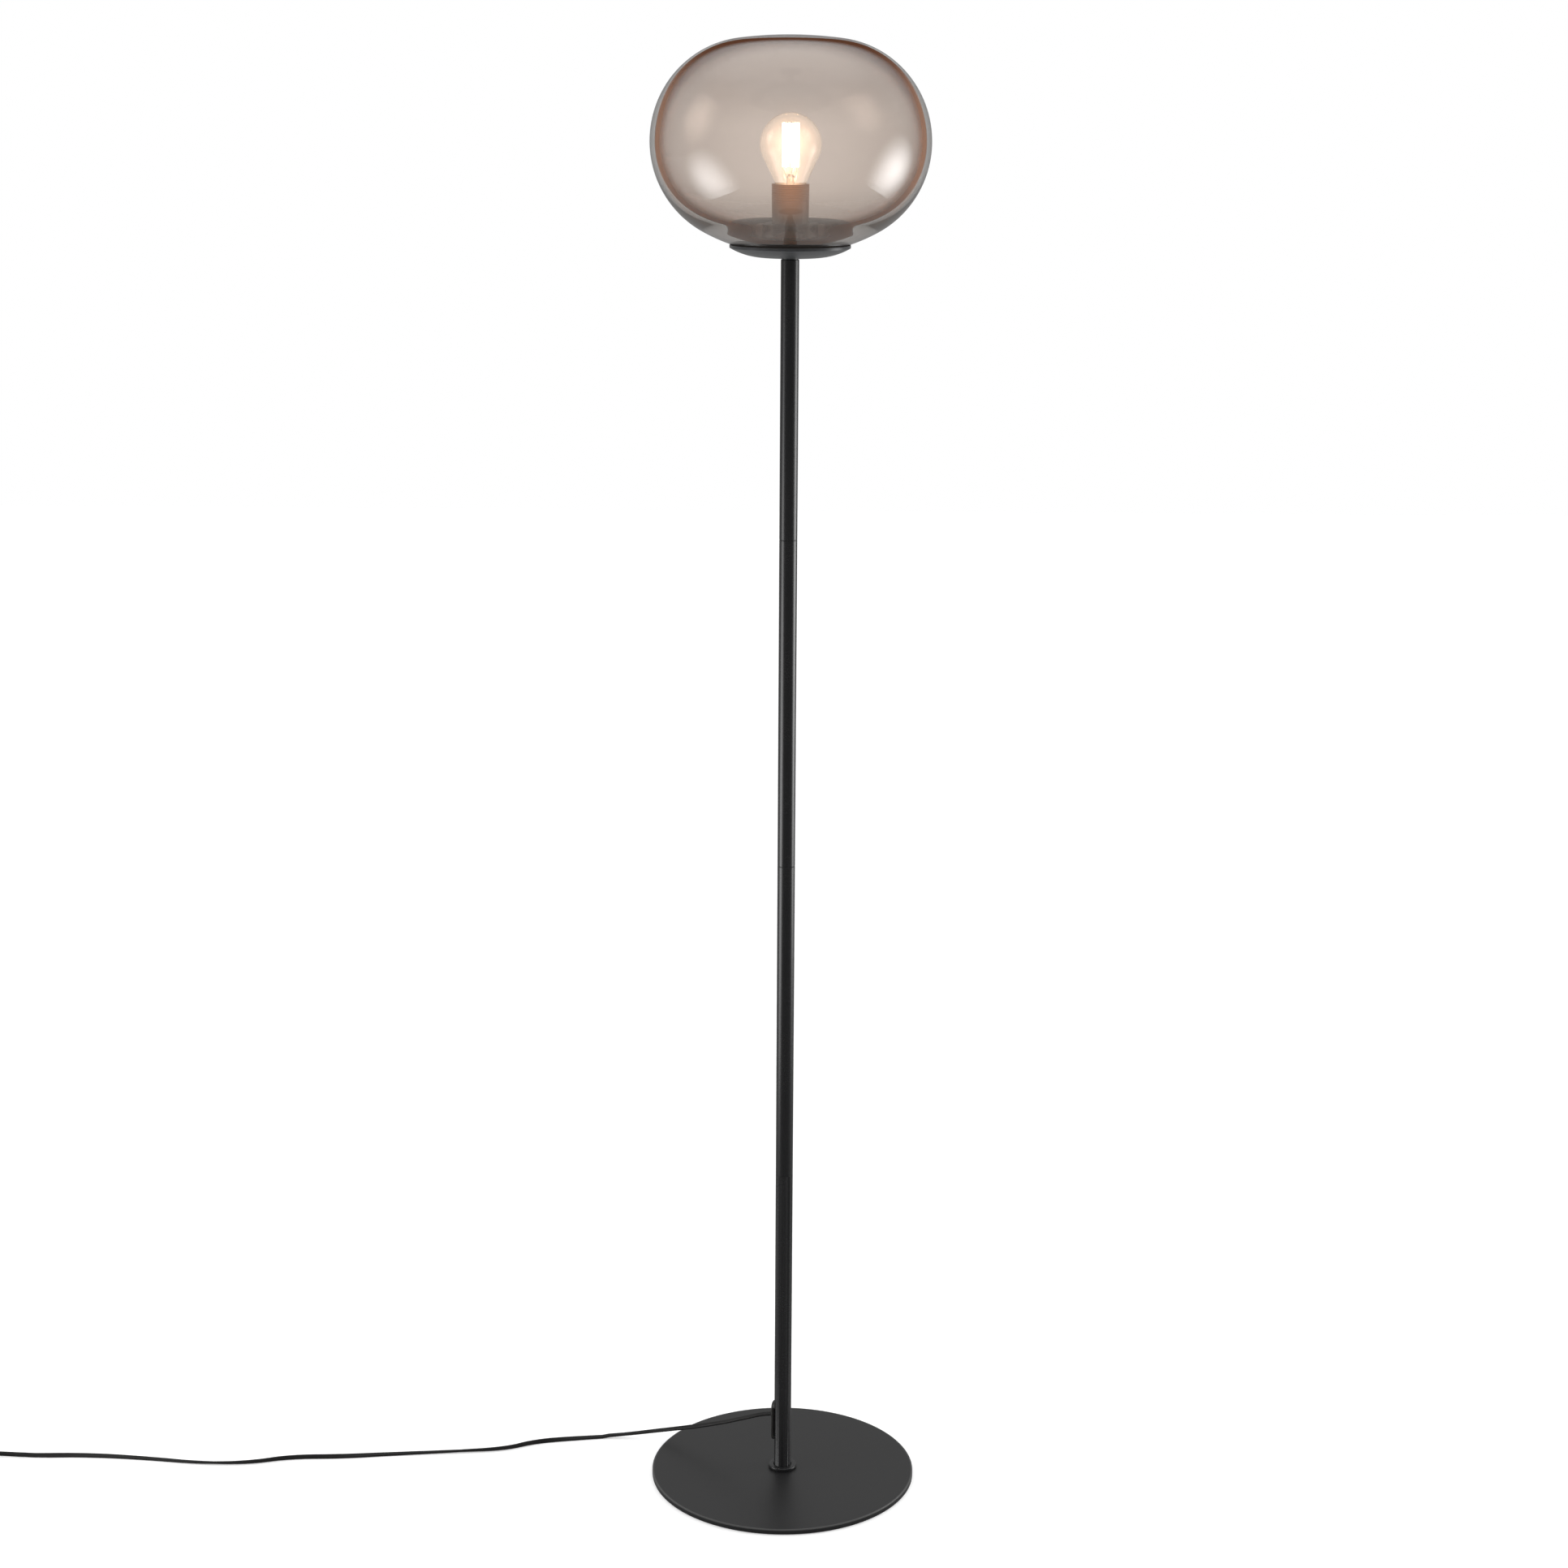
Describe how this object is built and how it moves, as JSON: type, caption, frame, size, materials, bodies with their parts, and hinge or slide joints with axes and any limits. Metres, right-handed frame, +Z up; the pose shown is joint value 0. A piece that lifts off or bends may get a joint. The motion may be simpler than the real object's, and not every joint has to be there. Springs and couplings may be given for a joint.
{
  "type": "globe floor lamp",
  "caption": "Floor lamp with an oval smoked glass globe on a shallow dish, a slim jointed pole, a round flat base, a rocker switch low on the pole and a mains cord.",
  "frame": {"origin": "centre of the base's underside, on the floor", "axes": "+Z up along the pole; the mains cord leaves on the -X side"},
  "size_m": [1.0996, 0.2839, 1.5],
  "materials": {
    "black_steel": "satin black powder coat",
    "gloss_black_dish": "semi-gloss black",
    "felt": "black felt",
    "zinc_steel": "zinc plated",
    "smoked_glass": "smoke grey, clear",
    "clear_silicone": "translucent grey silicone",
    "dark_plastic": "black moulded",
    "ceramic_core": "ivory moulded",
    "brass": "plain",
    "bright_steel": "plain",
    "nickel": "nickel plated",
    "black_glass": "glossy black",
    "clear_glass": "clear",
    "filament": "warm phosphor",
    "black_cord": "satin black",
    "wire_cover": "brown",
    "tie_plastic": "black",
    "plug_plastic": "black moulded"
  },
  "bodies": {
    "lamp": {"base_collar": "black_steel", "base_pad": "felt", "base_plate": "black_steel", "base_screw": "zinc_steel", "bulb_cap": "nickel", "bulb_filaments": "filament", "bulb_glass": "clear_glass", "bulb_insulator": "black_glass", "bulb_stem": "clear_glass", "bulb_tip": "nickel", "bulb_wires": "bright_steel", "centre_contact": "brass", "coil_tie": "tie_plastic", "cord_bush": "dark_plastic", "cord_clamp": "dark_plastic", "cord_coil": "black_cord", "cord_tail": "black_cord", "dish": "gloss_black_dish", "foot_insert": "zinc_steel", "glass_gasket": "clear_silicone", "glass_globe": "smoked_glass", "holder_barrel": "dark_plastic", "holder_cap": "dark_plastic", "holder_core": "ceramic_core", "holder_leads": "wire_cover", "holder_terminals": "brass", "insert_1_top": "zinc_steel", "insert_2_bottom": "zinc_steel", "insert_2_top": "zinc_steel", "insert_3_bottom": "zinc_steel", "insert_3_top": "zinc_steel", "insert_4_bottom": "zinc_steel", "insert_4_top": "zinc_steel", "joint_nipple_1": "zinc_steel", "joint_nipple_2": "zinc_steel", "joint_nipple_3": "zinc_steel", "mains_cord": "black_cord", "neck_spacer": "black_steel", "nipple_nut": "zinc_steel", "notched_washer": "clear_silicone", "plug_body": "plug_plastic", "plug_pins": "nickel", "pole_flex": "black_cord", "pole_tube_1": "black_steel", "pole_tube_2": "black_steel", "pole_tube_3": "black_steel", "pole_tube_4": "black_steel", "rocker_pin": "bright_steel", "screw_shell": "brass", "shade_ring": "dark_plastic", "switch_body": "dark_plastic", "switch_leads": "wire_cover", "switch_plate": "dark_plastic", "switch_terminals": "brass", "terminal_screws": "bright_steel", "top_nipple": "zinc_steel"},
    "rocker": {"switch_rocker": "dark_plastic", "moving_contact": "brass"}
  },
  "joints": [
    {"name": "rocker_tilt", "type": "hinge", "parent": "lamp", "child": "rocker", "pos_m": [-0.00902, 0.00328, 0.048], "axis": [-0.342, -0.9397, 0], "range_deg": [0, 14]}
  ]
}
